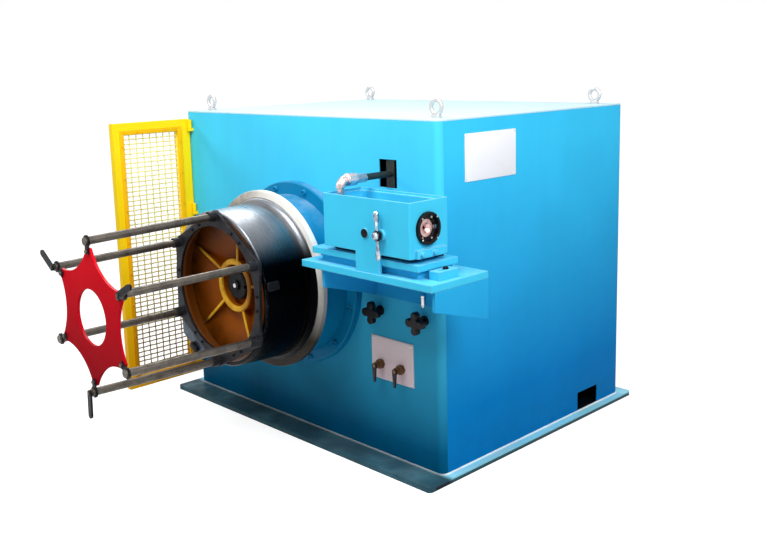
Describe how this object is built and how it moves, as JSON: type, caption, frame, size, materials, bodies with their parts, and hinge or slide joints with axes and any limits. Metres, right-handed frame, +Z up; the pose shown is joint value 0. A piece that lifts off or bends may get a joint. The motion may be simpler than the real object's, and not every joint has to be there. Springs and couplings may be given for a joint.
{
  "type": "wire drawing machine",
  "caption": "Horizontal drum wire drawing machine with sheet housing, die box on a bracket shelf, open coil cage and a mesh guard door.",
  "frame": {"origin": "on the underside of the base plate, below the middle of the sheet housing", "axes": "+Z up, +X along the drum face towards the die box, the drum side faces -Y"},
  "size_m": [1.931, 2.327, 1.476],
  "materials": {
    "blue_paint": "semi-gloss machine enamel",
    "top_paint": "semi-gloss machine enamel under a pale film of dust",
    "yellow_paint": "gloss enamel",
    "red_paint": "gloss enamel",
    "amber_paint": "gloss enamel",
    "cream_flange": "satin",
    "drum_steel": "hard ground and polished",
    "dark_steel": "oiled black",
    "grey_steel": "ground",
    "black_oxide": "black oxide",
    "plated_steel": "zinc plated",
    "cast_grey": "machined casting",
    "chrome": "polished",
    "black_plastic": "moulded",
    "brass": "dull",
    "dark_pipe": "matt",
    "plate_grey": "brushed"
  },
  "bodies": {
    "frame": {"base_plate": "blue_paint", "front_panel": "blue_paint", "back_panel": "blue_paint", "left_panel": "blue_paint", "right_panel": "blue_paint", "top_panel": "top_paint", "lifting_eyes": "plated_steel", "wall_flange": "blue_paint", "drum_backing_cover": "blue_paint", "bearing_cartridge": "cast_grey", "guard_hinge_brackets": "yellow_paint", "shelf_plate": "blue_paint", "shelf_bracket": "blue_paint", "slide_base": "blue_paint", "slide_clamp": "blue_paint", "die_box": "blue_paint", "die_holder": "chrome", "die_cradle": "dark_steel", "lubricant_pipe": "dark_pipe", "pipe_fitting": "plated_steel", "knob_bases": "chrome", "valve_plate": "plate_grey", "valve_bodies": "brass"},
    "drum": {"block_flange": "cream_flange", "drum_block": "drum_steel", "drum_web": "amber_paint", "hub_nut": "black_oxide", "drum_shaft": "chrome", "wire_clamp": "dark_steel", "wire_gripper": "grey_steel", "cage_ring": "dark_steel", "cage_rods": "dark_steel", "star_plate": "red_paint", "star_clips": "dark_steel"},
    "latch_1": {"coil_latch_1": "dark_steel"},
    "latch_2": {"coil_latch_2": "dark_steel"},
    "latch_3": {"coil_latch_3": "dark_steel"},
    "guard_door": {"guard_frame": "yellow_paint", "guard_mesh_uprights": "yellow_paint", "guard_mesh_crosswires": "yellow_paint"},
    "die_clamp": {"clamp_handle": "chrome"},
    "knob_1": {"valve_knob_1": "black_plastic"},
    "knob_2": {"valve_knob_2": "black_plastic"},
    "lever_1": {"valve_lever_1": "black_oxide"},
    "lever_2": {"valve_lever_2": "black_oxide"}
  },
  "joints": [
    {"name": "drum_spin", "type": "hinge", "parent": "frame", "child": "drum", "pos_m": [0, 0, 0.717], "axis": [0, -1, 0], "continuous": true},
    {"name": "guard_door_hinge", "type": "hinge", "parent": "frame", "child": "guard_door", "pos_m": [-0.784, -0.641, 0], "axis": [0, 0, 1], "range_deg": [0, 85]},
    {"name": "clamp_handle_turn", "type": "hinge", "parent": "frame", "child": "die_clamp", "pos_m": [0.8225, -0.94, 1.017], "axis": [0, -1, 0], "continuous": true},
    {"name": "knob_1_turn", "type": "hinge", "parent": "frame", "child": "knob_1", "pos_m": [0.507, -0.68, 0.63], "axis": [0, -1, 0], "continuous": true},
    {"name": "knob_2_turn", "type": "hinge", "parent": "frame", "child": "knob_2", "pos_m": [0.749, -0.68, 0.63], "axis": [0, -1, 0], "continuous": true},
    {"name": "lever_1_turn", "type": "hinge", "parent": "frame", "child": "lever_1", "pos_m": [0.507, -0.67, 0.408], "axis": [0, -1, 0], "range_deg": [0, 90]},
    {"name": "lever_2_turn", "type": "hinge", "parent": "frame", "child": "lever_2", "pos_m": [0.621, -0.67, 0.408], "axis": [0, -1, 0], "range_deg": [0, 90]},
    {"name": "latch_1_swing", "type": "hinge", "parent": "drum", "child": "latch_1", "pos_m": [0.25661, -1.635, 0.84775], "axis": [0, -1, 0], "range_deg": [0, 90]},
    {"name": "latch_2_swing", "type": "hinge", "parent": "drum", "child": "latch_2", "pos_m": [-0.24154, -1.635, 0.87386], "axis": [0, -1, 0], "range_deg": [0, 90]},
    {"name": "latch_3_swing", "type": "hinge", "parent": "drum", "child": "latch_3", "pos_m": [-0.01507, -1.635, 0.4294], "axis": [0, -1, 0], "range_deg": [0, 90]}
  ]
}
